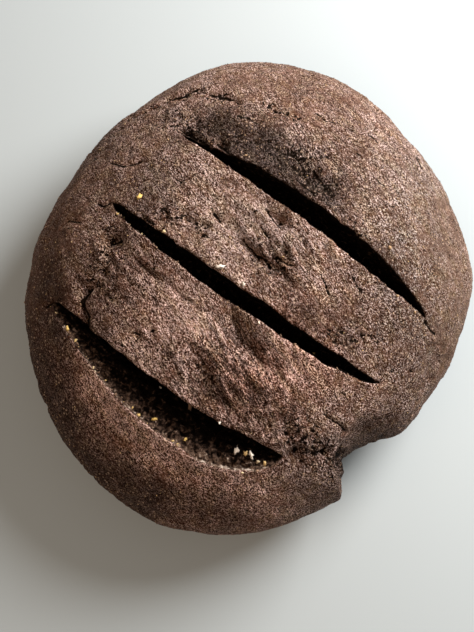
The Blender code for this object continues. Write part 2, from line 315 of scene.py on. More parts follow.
# Cracks and fine creases: depth, half width, run. They wander a little off their run.
cracks = (
    # the seam along the far rim
    (1.7, 1.0, ((-56, 78), (-50, 80), (-45, 82), (-40, 85.4), (-34, 87.3), (-29, 88), (-23, 87.7))),
    (1.4, 0.9, ((-18.3, 85.5), (-14, 83.7), (-9, 81.4), (-4, 77.6))),
    (0.9, 0.8, ((-34, 82.7), (-30, 82.5))),
    (0.8, 0.8, ((-62.5, 51), (-57, 48.3), (-52.4, 48.6), (-47.8, 50))),
    # round the upper slash
    (3.6, 1.7, ((-29.5, 64), (-25.5, 61.4), (-22.3, 58.4), (-18, 55))),
    (1.2, 0.8, ((-30, 63.2), (-26.4, 64.6), (-21.5, 63.7))), (1.8, 1.2, ((-14, 57), (-10.3, 51.3))),
    (1.2, 0.8, ((-6, 70.7), (-0.5, 68.3), (4.4, 66.6))), (1.3, 0.9, ((10.5, 76.2), (13.7, 73))),
    (1.1, 0.8, ((15.4, 53), (19.5, 48.5), (23.6, 46.3))),
    (1.4, 0.9, ((20.3, 38), (25, 34.7), (27.4, 30.3))),
    (1.2, 0.8, ((28.8, 44.2), (31.8, 38.5), (34.7, 30.7))), (0.9, 0.7, ((32, 50.4), (35.4, 49.4))),
    (0.9, 0.7, ((29, 74.7), (34, 69.7), (40.6, 67.2))), (0.9, 0.7, ((46.5, 55.5), (49.5, 51))),
    (0.9, 0.7, ((54, 64.7), (59.4, 61))), (0.9, 0.7, ((56.7, 40.8), (59.8, 37.7))),
    (0.9, 0.8, ((78, 60), (80, 53))), (0.9, 0.8, ((77, -22), (78.7, -26), (80.8, -28))),
    # between the upper slashes
    (0.8, 0.8, ((-32, 38.3), (-30, 36.4))), (0.8, 0.8, ((-44.7, 19.4), (-40.8, 17))),
    (0.9, 0.8, ((-28, 19), (-22.4, 16.7))), (0.9, 0.8, ((-17, 24.6), (-12.7, 18.8))),
    (0.9, 0.8, ((6.6, 24.4), (10.3, 18.7), (13, 14.2))), (0.9, 0.8, ((4.4, 15.8), (7.5, 10.8))),
    (1.4, 0.9, ((-3, 9.7), (1, 5.2), (5.4, 1.9), (8.5, -1.3))), (1.2, 0.8, ((11, 3), (18, -1.3))),
    (0.8, 0.9, ((29, -4), (32, -10))), (0.8, 0.9, ((32, -11), (34, -15))),
    (0.8, 0.9, ((44, -6), (47, -12))),
    # between the lower slashes
    (0.6, 0.6, ((-55, 5), (-49, 2), (-43, -3), (-34, -11), (-19, -22))),
    (0.5, 0.6, ((-44, 1), (-37, -6), (-30, -11), (-21, -17))),
    (0.9, 0.8, ((-67.5, 30), (-64.4, 28.6), (-61.5, 29.6))),
    (0.7, 0.8, ((-49.7, -29.4), (-46.4, -30.5), (-49, -35.7))),
    (0.7, 0.8, ((-62.7, -12), (-59.4, -15))), (0.5, 0.7, ((-9.4, -20.7), (-6.3, -27), (-3.2, -33.4))),
    (0.5, 0.7, ((-18, -39.6), (-15.7, -47.8))),
    (1.0, 0.8, ((31, -64), (33.8, -65.2), (36, -66.8), (41, -70))),
    (0.9, 0.8, ((27, -68), (29.6, -69.4))), (1.2, 0.8, ((52, -49.5), (55.6, -49.7))),
    # near the left rim
    (2.2, 1.3, ((-71, -9), (-73.5, -14.5), (-71.6, -20.3), (-71, -26))),
    (1.2, 0.9, ((-92, -14), (-88, -13))), (1.0, 0.8, ((-85.4, 22.4), (-81.8, 24.2), (-75.3, 22.3))),
    (0.8, 0.8, ((-102, -40), (-99, -47))), (0.8, 0.8, ((-97, -54), (-92, -57))),
)
# Torn pits: depth, radius, place.
pits = (
    (2.8, 2.4, (-12, 55)), (3.0, 2.2, (-61.2, 12.1)), (2.6, 1.7, (-58, 12.8)), (2.4, 1.8, (-64, -2)),
    (2.2, 1.8, (-71, -9)), (2.0, 1.7, (16, -75.3)), (2.6, 2.2, (19.5, -79.7)), (2.8, 2.6, (32.5, -80)),
    (2.8, 2.4, (41.4, -79.5)), (1.6, 1.4, (14.7, -71.7)), (1.6, 1.4, (17, -73)),
    (1.5, 1.3, (22, -73.5)), (1.6, 1.5, (26.6, -71)), (1.8, 1.6, (22, -84)), (2.2, 1.8, (60.6, -71.4)),
    (1.8, 1.5, (55.4, -73)), (1.5, 1.4, (38.8, -29.8)), (1.6, 1.5, (43, -33)),
    (1.2, 1.2, (35.8, -33.8)), (1.2, 1.1, (52.3, -31.3)), (1.2, 1.1, (47.5, -30.7)),
    (1.0, 1.0, (65.4, -26.3)), (1.0, 1.0, (64.5, -21.3)), (1.2, 1.2, (70, -44.3)),
    (1.0, 1.1, (61, -45)), (1.2, 1.2, (-11, 75)), (1.5, 1.5, (11.6, 74.2)), (1.2, 1.2, (17, 71.7)),
    (1.2, 1.5, (13, 18)), (1.4, 1.4, (-41, -29)), (1.4, 1.5, (29, 36)), (1.4, 1.4, (24, 42)),
)
# Crust torn open into pores: radius, how torn, run.
porous = (
    (8.0, 0.8, ((-36, 70), (-16, 63), (4, 54), (14, 48))),
    (7.0, 1.2, ((17.8, 50), (26.4, 41.4), (33.9, 32.2))), (4.0, 0.8, ((6, 77), (20, 70))),
    (3.0, 0.8, ((-57, 78), (-26, 87), (-5, 77))), (5.0, 0.8, ((-43, 22), (-32, 20), (-21, 16))),
    (7.0, 1.0, ((18, -70), (27, -77), (41, -83))), (6.0, 0.8, ((-62, 14), (-61, 2), (-70, -8))),
    (6.0, 0.8, ((5, 6), (13, -3))), (5.0, 0.6, ((36, -31), (53, -32))), (6.0, 0.6, ((13, 17),)),
    (6.0, 0.5, ((-24, -40), (-19, -50))), (5.0, 0.6, ((38, 24), (50, 8))),
)
# Skin stretched into fine streaks and wrinkles, with painted shade in their valleys and painted light on
# their ridges: radius, height, direction, place.
streaks = (
    (34.0, 0.95, -62.0, (-8, -46)),
    (24.0, 0.50, -40.0, (-44, -2)),
    (26.0, 0.70, -55.0, (16, 2)),
    (24.0, 0.50, -30.0, (-22, 34)),
    (26.0, 0.60, -42.0, (26, 48)),
    (30.0, 0.15, -70.0, (-78, 20)),
    (34.0, 0.25, -50.0, (-52, -70)),
    (34.0, 0.15, -70.0, (70, -10)),
)
# How brown the oven baked it, with painted shade where the light falls off towards the left and lower left
# and beside the upper slash's lip, and painted highlights such as the bright strip along the lower slash's
# right lip: share of light more or less than the middling crust, radius, run.
browningAndPaintedLight = (
    (-0.12, 34.0, ((-96, 40), (-98, 0))), (-0.68, 22.0, ((-106, -30), (-84, -68), (-56, -98))),
    (0.20, 15.0, ((-62, -64), (-42, -80), (-28, -94))), (0.15, 15.0, ((-9, 89),)),
    (0.80, 8.0, ((-68, -48), (-57, -59), (-42, -72), (-27, -81), (-8, -88))),
    (0.70, 3.5, ((-72, -38), (-58, -54), (-44, -67), (-28, -77), (-10, -85))),
    (-0.30, 8.0, ((-74, -60),)), (-0.40, 4.5, ((27, 2),)), (0.45, 10.0, ((-2, 20), (12, 9), (26, 6))),
    (0.45, 9.0, ((-35, -12), (-30, -26), (-19, -27))), (0.55, 10.0, ((-4, -38), (14, -42))),
    (-0.40, 9.0, ((-67, 0), (-66, -13), (-65, -26))), (-0.45, 7.0, ((11, -61), (5, -56))),
    (-0.45, 11.0, ((60, -70), (44, -84))), (0.30, 6.0, ((-38, 65),)),
    (-0.80, 11.0, ((-34, 71), (-12, 62), (6, 53), (22, 42), (34, 31))), (-0.20, 7.0, ((-28, 62),)),
    (-0.30, 22.0, ((60, 10), (62, -48))), (0.30, 20.0, ((-16, 30), (24, 6))),
    (-0.45, 7.0, ((20, -20), (40, -35))), (0.50, 19.0, ((-12, 8), (-24, -24), (6, -42))),
    (0.30, 28.0, ((76, 44), (94, -6))), (-0.45, 14.0, ((-40, 31),)),
    (-0.30, 12.0, ((-68, 30), (-50, 12), (-44, -2))), (-0.35, 10.0, ((-54, -14), (-50, -22))),
    (-0.35, 9.0, ((-90, 2), (-86, -12))),
    (-0.50, 7.0, ((-80, -24), (-71, -33), (-62, -38), (-55, -43))),
    (-0.25, 12.0, ((-94, -44), (-90, -68), (-78, -89))),
    (-0.55, 9.0, ((-39, -96), (-23, -101), (-10, -99))), (-0.35, 8.0, ((64, -6), (58, 3))),
    (-0.30, 9.0, ((-9, 71), (4, 64))), (0.55, 8.0, ((-30, 72),)), (0.25, 8.0, ((3, -16), (8, -28))),
    (-0.60, 3.5, ((-9, 52), (0, 45.5), (11, 39.5), (22, 31))), (-0.30, 9.0, ((22, -26), (18, -14))),
    (-0.25, 14.0, ((-64, 68), (-56, 55))), (-0.50, 16.0, ((26, -86),)),
    (-0.95, 6.0, ((-10, -17), (-6, -29), (1, -39))), (-0.45, 8.0, ((-25, -38), (-17, -52))),
    (-0.45, 7.0, ((5, 6), (13, -3))), (-0.45, 13.0, ((-8, -58),)), (-0.25, 12.0, ((-10, -104),)),
)
# How coarse its grain shows: share of contrast more or less than the middling crust, radius, run.
coarseness = (
    (-0.50, 26.0, ((-92, 36), (-94, 0))), (-0.60, 22.0, ((92, 28), (94, -30))),
    (-0.30, 14.0, ((-9, 92), (40, 84))), (0.45, 20.0, ((-84, -50), (-66, -66), (-40, -84), (-20, -98))),
    (0.40, 9.0, ((-30, 66), (-10, 62))), (0.80, 9.0, ((8, 52), (22, 44), (32, 32))),
    (0.20, 14.0, ((-50, 26), (-36, 30))), (0.30, 12.0, ((-60, 2), (-46, -6))),
    (0.45, 14.0, ((-14, -54), (0, -60))), (0.45, 10.0, ((-52, -36), (-32, -52))),
    (0.40, 16.0, ((20, -84), (36, -84))),
)
# How warm its brown is, partly a painted shade cast, warmer where shade falls at the lower left and cooler
# on the lit right side: share more or less than the middling crust, radius, run.
warmthsAndShadeCast = (
    (0.30, 16.0, ((20, -26), (24, -44), (-6, -54))), (-0.35, 30.0, ((84, 34), (88, -20))),
    (-0.10, 16.0, ((63, 15),)), (0.38, 26.0, ((-82, -44), (-50, -80), (-14, -98))),
    (0.20, 20.0, ((-54, 0), (-6, -50), (14, -44))),
)
grain = {
    "contrast": 2.1,
    "layers": ((5.5, 0.24), (2.4, 0.14), (1.15, 0.30)),  # wavelength and height of lumps and grit
    "tornLayers": ((4.2, 1.5), (2.2, 0.9)),              # the same where the skin is torn
    "poreSpacing": (3.6, 2.2),
    "poreDepth": 1.6,
    "hairCracks": ((13.0, 0.06, 0.7), (8.0, 0.07, 0.5)),  # wavelength, width share, depth
    "drift": ((16.0, 0.12, 41.0), (7.0, 0.10, 43.0)),    # browning: wavelength, share, seed
    "clumps": ((8.0, 0.6, 101.0), (3.5, 0.5, 103.0)),    # contrast: wavelength, share, seed
    "darkest": 0.25,
}
tornWall = {
    "layers": ((4.0, 2.2), (1.6, 1.6)),  # wavelength and height of the torn crumb's lumps
    "narrowing": 0.14,                   # how fast they rise with the cut's width in mm
    "floorShare": 0.3,                   # their height past the floor over that before it
    "endDepth": 0.25,                    # depth at a cut's ends over that in its middle
    "shelfReach": 0.36,                  # share of the depth that light reaches
}


def lineField(places, run):
    # distance from a line, and the share along it of its nearest point
    nearest = np.full(len(places), np.inf)
    along = np.zeros(len(places))
    ends = run[1:] or run
    legs = len(ends)
    for leg, (first, last) in enumerate(zip(run, ends)):
        first = np.array(first, float)
        step = np.array(last, float) - first
        share = np.clip((places - first) @ step / max(step @ step, 1e-9), 0.0, 1.0)
        distance = np.linalg.norm(places - first - np.outer(share, step), axis=1)
        along = np.where(distance < nearest, (leg + share) / legs, along)
        nearest = np.minimum(nearest, distance)
    return nearest, along


def warped(points):
    # places in plan, moved about a little so that nothing drawn there is a ruled shape
    places = points[:, :2].copy()
    for wavelength, reach in loaf["warp"]:
        places[:, 0] += reach * noiseAt(points, wavelength, 71.0)
        places[:, 1] += reach * noiseAt(points, wavelength, 83.0)
    return places


def lipLift(places):
    # crust raised beside the slashes, highest at the lips
    lift = np.zeros(len(places))
    for slash in slashes.values():
        start, run, side, length = slashAxes(slash)
        along = (places - start) @ run / length
        across = (places - start) @ side
        rightLip, leftLip = (bow * lens(slash, along, lip) for lip, bow in enumerate(slash["lips"]))
        beyond = np.maximum(np.maximum(rightLip - across, across - leftLip), 0.0)
        beside = lens(slash, along) * ((along > 0.0) & (along < 1.0))
        lift += loaf["lipSwell"] * beside * bump(beyond, loaf["lipReach"])
    return lift


def broadRelief(points):
    height = lipLift(points[:, :2])
    places = warped(points)
    for rise, halfWidth, run in forms:
        distance, along = lineField(places, run)
        taper = 0.35 + 0.65 * np.sin(math.pi * along)
        height += rise * taper * bump(distance, halfWidth * (0.6 + 0.4 * taper))
    for rise, radius, place in swellings:
        height += rise * bump(np.linalg.norm(places - place, axis=1), radius)
    for wavelength, rise in loaf["waves"]:
        height += rise * noiseAt(points, wavelength)
    return height * smoothStep(*loaf["reliefFoot"], points[:, 2])


def poreField(points, spacing, shift):
    # 1 in the middle of a pore, 0 beyond its edge
    near = [noise.voronoi(place)[0][0] for place in (points / spacing + shift).tolist()]
    return np.clip(1.0 - np.array(near) / 0.42, 0.0, 1.0)


def painted(points, strokes):
    # 1, and more or less than that near each stroke
    places = warped(points)
    level = np.ones(len(points))
    for share, radius, run in strokes:
        level += share * bump(lineField(places, run)[0], radius)
    return level


def brownedAndPaintedLight(points):
    tone = painted(points, browningAndPaintedLight)
    for wavelength, share, seed in grain["drift"]:
        tone = tone + share * noiseAt(points, wavelength, seed)
    return np.maximum(tone, grain["darkest"])


def fineRelief(points):
    # heights, then by name what the crust's colour goes by
    places = points[:, :2]
    wander = 1.1 * np.column_stack((noiseAt(points, 6.0, 11.0), noiseAt(points, 6.0, 23.0)))
    height = np.zeros(len(points))
    hollow = np.zeros(len(points))
    torn = np.zeros(len(points))
    wrinkled = np.zeros(len(points))
    rim = np.zeros(len(points))
    crown = smoothStep(*loaf["crackFoot"], points[:, 2])
    for depth, halfWidth, run in cracks:
        distance = lineField(places + wander, run)[0]
        mask = crown * bump(distance, halfWidth)
        height -= depth * mask
        # hollow marks where cracks, pits and pores get painted shade in the colour
        hollow = np.maximum(hollow, mask * min(1.2 * depth, 1.0))
        # a painted highlight on the crust just beside each crack
        rim = np.maximum(rim, crown * bump(distance - 2.0 * halfWidth, 0.8) * min(depth, 1.0))
    for depth, radius, place in pits:
        mask = crown * bump(np.linalg.norm(places + 0.8 * wander - place, axis=1), radius)
        height -= depth * mask
        hollow = np.maximum(hollow, mask)
    for radius, share, run in porous:
        torn = np.maximum(torn, share * bump(lineField(places + 3.0 * wander, run)[0], radius))
    patchy = 0.4 * noiseAt(points, 7.0, 31.0)
    # tone: the oven's baked colour and random drift, with the painted shade and painted highlights of the
    # strokes listed above
    tone = brownedAndPaintedLight(points)
    openPores = np.zeros(len(points))
    for spacing, low in zip(grain["poreSpacing"], (0.25, 0.35)):
        pores = poreField(points, spacing, 5.0 * spacing)
        openPores = np.maximum(openPores, pores * smoothStep(low, low + 0.4, torn + patchy))
    height -= grain["poreDepth"] * openPores
    hollow = np.maximum(hollow, openPores)
    for radius, rise, direction, place in streaks:
        turn = math.radians(direction)
        alongRun = places @ np.array((math.cos(turn), math.sin(turn)))
        acrossRun = places @ np.array((-math.sin(turn), math.cos(turn)))
        stretched = np.column_stack((alongRun / 4.5, acrossRun, points[:, 2] * 0.3))
        mask = bump(np.linalg.norm(places - place, axis=1), radius)
        folds = 0.22 - np.abs(noiseAt(stretched, 4.4, 53.0))
        wrinkles = 0.9 * noiseAt(stretched, 2.0, 51.0) + 2.0 * folds
        height += rise * mask * wrinkles
        wrinkled = np.maximum(wrinkled, 1.2 * rise * mask)
        # painted shade in the wrinkles' valleys and painted light on their ridges
        tone *= np.clip(1.0 + 0.30 * rise * mask * wrinkles, 0.5, 1.5)
    # the painted highlight beside the cracks raises the tone
    tone *= 1.0 + 0.35 * rim
    for wavelength, rise in grain["layers"]:
        height += rise * noiseAt(points, wavelength, 61.0)
    for wavelength, rise in grain["tornLayers"]:
        height += rise * torn * (noiseAt(points, wavelength, 67.0) - 0.15)
    where = smoothStep(-0.1, 0.3, noiseAt(points, 19.0, 91.0) + 0.5 * torn)
    for wavelength, width, depth in grain["hairCracks"]:
        crack = where * bump(noiseAt(points, wavelength, 97.0), width)
        height -= depth * crack
        hollow = np.maximum(hollow, 0.5 * crack)
    fade = smoothStep(0.5, 6.0, points[:, 2])
    clumped = 1.0
    for wavelength, share, seed in grain["clumps"]:
        clumped = clumped + share * noiseAt(points, wavelength, seed)
    return height * fade, {
        "hollow": hollow * fade, "torn": torn * fade, "wrinkled": wrinkled * fade, "tone": tone,
        "coarse": grain["contrast"] * clumped * painted(points, coarseness),
        "warmth": painted(points, warmthsAndShadeCast) - 0.5}


def rollLips(rows, cuts, normals, points, tone):
    # the crust bends down into the cut over its last millimetres, and its torn edge is pale: pale crumb with
    # a painted highlight where the lip faces the light
    for name, cut in cuts.items():
        slash = slashes[name]
        sides = zip((cut["row"], cut["row"] + 1), (-1, 1), slash["roll"], slash["paleAndLitLips"])
        for lip, way, (drop, reach), pale in sides:
            for row in range(lip, lip + 14 * way, way):
                beyond = np.abs(rows[row] - rows[lip]) * profileLength
                points[row] -= normals[row] * (drop * cut["open"] * bump(beyond, reach))[:, None]
                ragged = np.maximum(0.5 + 1.6 * noiseAt(points[row], 4.0, 13.0), 0.0)
                # painted highlight and pale crumb along the lip's torn edge raise the tone
                tone[row] += pale * ragged * np.minimum(2.0 * cut["open"], 1.0) * bump(beyond, 0.8)


class MeshParts:
    # vertices, faces and what the material reads at each vertex, gathered piece by piece
    def __init__(self, coords, values):
        self.coords = [tuple(place) for place in coords]
        self.values = {name: list(column) for name, column in values.items()}
        self.faces = []

    def addVertex(self, place, **values):
        self.coords.append(tuple(place))
        for name, column in self.values.items():
            column.append(values.get(name, 0.0))
        return len(self.coords) - 1

    def addFace(self, corners):
        face = []
        for corner in corners:
            if corner not in face:
                face.append(int(corner))
        if len(face) > 2:
            self.faces.append(face)


def addWalls(parts, index, points, normals, cut, slash):
    # strips of vertices from one lip down to the floor of the cut and up to the other lip
    # the vertices crowd where light gets in
    count = net["wallRows"]
    acrossShares, depthShares = np.array(slash["section"]).T
    legs = np.hypot(np.diff(acrossShares), np.diff(depthShares))
    lit = 1.05 - 0.5 * (depthShares[1:] + depthShares[:-1])
    legs = legs * lit * np.linspace(1.6, 0.4, len(legs))
    turns = np.concatenate(([0.0], np.cumsum(legs))) / legs.sum()
    floorAt = turns[np.argmax(depthShares)]
    stops = np.linspace(0.0, 1.0, count + 1)[1:-1]
    acrossShares = np.interp(stops, turns, acrossShares)
    depthShares = np.interp(stops, turns, depthShares)
    strips = []
    for column in range(cut["first"], cut["last"] + 1):
        lowIndex = index[cut["row"], column]
        highIndex = index[cut["row"] + 1, column]
        if column in (cut["first"], cut["last"]):
            strips.append([lowIndex] * (count + 1))
            continue
        low = points[cut["row"], column]
        high = points[cut["row"] + 1, column]
        width = np.linalg.norm(high - low)
        side = (high - low) / max(width, 1e-6)
        down = -normals[cut["row"], column] - normals[cut["row"] + 1, column]
        down = down / np.linalg.norm(down)
        share = cut["share"][column]
        endDepth = tornWall["endDepth"]
        depth = slash["depth"] * (endDepth + (1.0 - endDepth) * math.sin(math.pi * share) ** 0.5)
        strip = [lowIndex]
        for stop, across, fall in zip(stops, acrossShares, depthShares):
            place = low + side * width * across + down * depth * fall
            lumps, grit = (rise * noise.noise((place / size).tolist()) for size, rise in tornWall["layers"])
            rough = (lumps + grit) * min(1.0, tornWall["narrowing"] * width) * min(fall * 5.0, 1.0)
            rough = rough * (1.0 + bump(share - 0.9, 0.12))
            place = place + (0.4 * side - down) * rough * (1.0 if stop < floorAt else tornWall["floorShare"])
            shelf = slash["shelf"] * (stop < floorAt) * max(0.0, 1.0 - fall / tornWall["shelfReach"])
            # painted light on the shelf, strongest near the cut's end
            shelf = shelf * (0.8 + 0.3 * share * share + 0.3 * bump(share - 0.92, 0.1) + 0.2 * rough)
            strip.append(parts.addVertex(place, inCut=1.0, shelf=max(0.0, shelf)))
        strip.append(highIndex)
        strips.append(strip)
    for left, right in zip(strips, strips[1:]):
        for k in range(count):
            parts.addFace((left[k], right[k], right[k + 1], left[k + 1]))


def addBase(parts, index):
    # rings that halve their number of points step by step, then a fan to the middle
    ring = list(index[0, :-1]) + list(index[:-1, -1]) + list(index[-1, :0:-1]) + list(index[:0:-1, 0])
    seam = [cut for cut in range(1, len(ring)) if ring[cut] == ring[cut - 1]]
    ring = [corner for k, corner in enumerate(ring) if k not in seam]
    outer = np.array([parts.coords[corner] for corner in ring])
    for share in net["baseRings"]:
        inner = []
        for corner in range(0, len(ring), 2):
            x, y, z = outer[corner * (len(outer) // len(ring))] * share
            inner.append(parts.addVertex((x, y, 0.0)))
        for k in range(len(inner)):
            start, middle, end = ring[2 * k], ring[2 * k + 1], ring[(2 * k + 2) % len(ring)]
            near, far = inner[k], inner[(k + 1) % len(inner)]
            parts.addFace((start, near, middle))
            parts.addFace((middle, near, far))
            parts.addFace((middle, far, end))
        ring = inner
    centre = parts.addVertex((0.0, 0.0, 0.0))
    for k, corner in enumerate(ring):
        parts.addFace((corner, centre, ring[(k + 1) % len(ring)]))


def meshObject(name, coords, faces, attributes):
    # only the vertices that a face uses go into the mesh
    used = sorted({corner for face in faces for corner in face})
    renumber = {corner: k for k, corner in enumerate(used)}
    mesh = bpy.data.meshes.new(name)
    corners = [[renumber[k] for k in face] for face in faces]
    mesh.from_pydata([Vector(coords[k]) * mm for k in used], [], corners)
    for label, values in attributes.items():
        layer = mesh.attributes.new(label, 'FLOAT', 'POINT')
        layer.data.foreach_set("value", [float(values[k]) for k in used])
    mesh.validate()
    mesh.shade_smooth()
    thing = bpy.data.objects.new(name, mesh)
    bpy.context.scene.collection.objects.link(thing)
    return thing


def centredOnSolid(points):
    # the solid loaf is centred by its box, so the crust is too
    shift = np.zeros(3)
    for axis in (0, 1):
        solid = 0.5 * (cadBox[0][axis] + cadBox[1][axis]) / mm
        shift[axis] = solid - 0.5 * (points[..., axis].min() + points[..., axis].max())
    loaf["shift"] = shift
    return points + shift


def makeCrust():
    columns, rows, cuts = netRows()
    across = np.broadcast_to(columns, rows.shape)
    points = bodyPoint(across, rows)
    normals = bodyNormal(across, rows)
    flat = points.reshape(-1, 3)
    height, values = fineRelief(flat)
    height += broadRelief(flat)
    points = (flat + normals.reshape(-1, 3) * height[:, None]).reshape(points.shape)
    rollLips(rows, cuts, normals, points, values["tone"].reshape(rows.shape))
    points = centredOnSolid(points)
    print("crust relief laid on", len(flat), "points")
    index = np.arange(rows.size).reshape(rows.shape)
    for cut in cuts.values():
        closed = cut["open"] <= 0.0
        index[cut["row"] + 1, closed] = index[cut["row"], closed]
    plain = np.zeros(len(flat))
    parts = MeshParts(points.reshape(-1, 3), {**values, "inCut": plain, "shelf": plain})
    lipRows = [cut["row"] for cut in cuts.values()]
    for row in range(len(rows) - 1):
        if row not in lipRows:
            for corners in zip(index[row, :-1], index[row, 1:], index[row + 1, 1:], index[row + 1, :-1]):
                parts.addFace(corners)
    for name, cut in cuts.items():
        addWalls(parts, index, points, normals, cut, slashes[name])
    addBase(parts, index)
    crust = meshObject("rye_crust", parts.coords, parts.faces, parts.values)
    print("crust made:", len(crust.data.polygons), "faces")
    return crust


crust = makeCrust()


def linearColour(hexCode):
    # sRGB hex to the linear values that Blender's shaders take
    channels = [int(hexCode[k:k + 2], 16) / 255.0 for k in (0, 2, 4)]
    return tuple(c / 12.92 if c <= 0.04045 else ((c + 0.055) / 1.055) ** 2.4 for c in channels) + (1.0,)


def addNode(tree, kind, settings=None, inputs=None):
    # stops are a ramp's places and hex colours; an input is a value or another node's socket
    node = tree.nodes.new(kind)
    for name, value in (settings or {}).items():
        if name == "stops":
            ramp = node.color_ramp
            while len(ramp.elements) < len(value):
                ramp.elements.new(0.5)
            for element, (place, hexCode) in zip(ramp.elements, value):
                element.position = place
                element.color = linearColour(hexCode)
        else:
            setattr(node, name, value)
    for name, value in (inputs or {}).items():
        if isinstance(value, bpy.types.NodeSocket):
            tree.links.new(value, node.inputs[name])
        else:
            node.inputs[name].default_value = value
    return node


crustLook = {
    "grit": 0.50,         # mm, flour and bran grains, as fine as the picture can show them
    "strand": 0.55,       # mm, the same where the skin was pulled into strands
    "strandTurn": -58.0,  # degrees, the way the strands run in plan
    "strandStretch": 2.4,
    "streak": 3.2,        # mm across, lighter and darker streaks along the strands
    "wrinkle": 3.0,       # mm apart, hairline wrinkles along the strands, their furrows painted dark as shade
    "wrinkleStretch": 6.0,
    "tint": 4.0,          # mm, patches that turn from ash brown to golden
    "patch": 4.5,         # mm, duller and brighter patches
    "tear": 1.9,          # mm, tears where the skin is torn, painted dark as the shade in their pits
    "cloud": 32.0,        # mm, how the browning drifts over the loaf
    "speck": 1.1,         # mm, spacing of pale bran specks and pinholes, the pinholes painted dark as the shade in them
    "grainLevel": 0.510,  # where the crust's mean lies on its colour ramps
    "paling": 0.075,      # how far up the ramps a paler place lies
    "coolCast": (0.90, 1.03, 1.06),    # light of each colour where the brown is cooler, then warmer
    "warmCast": (1.16, 0.95, 0.86),
    "bumpHeight": 0.0018,  # m of bump over a texture's whole range, of which the grain uses a part
}


def perMm(size):
    # a texture's scale for a pattern of that size in mm
    return 1.0 / (size * mm)


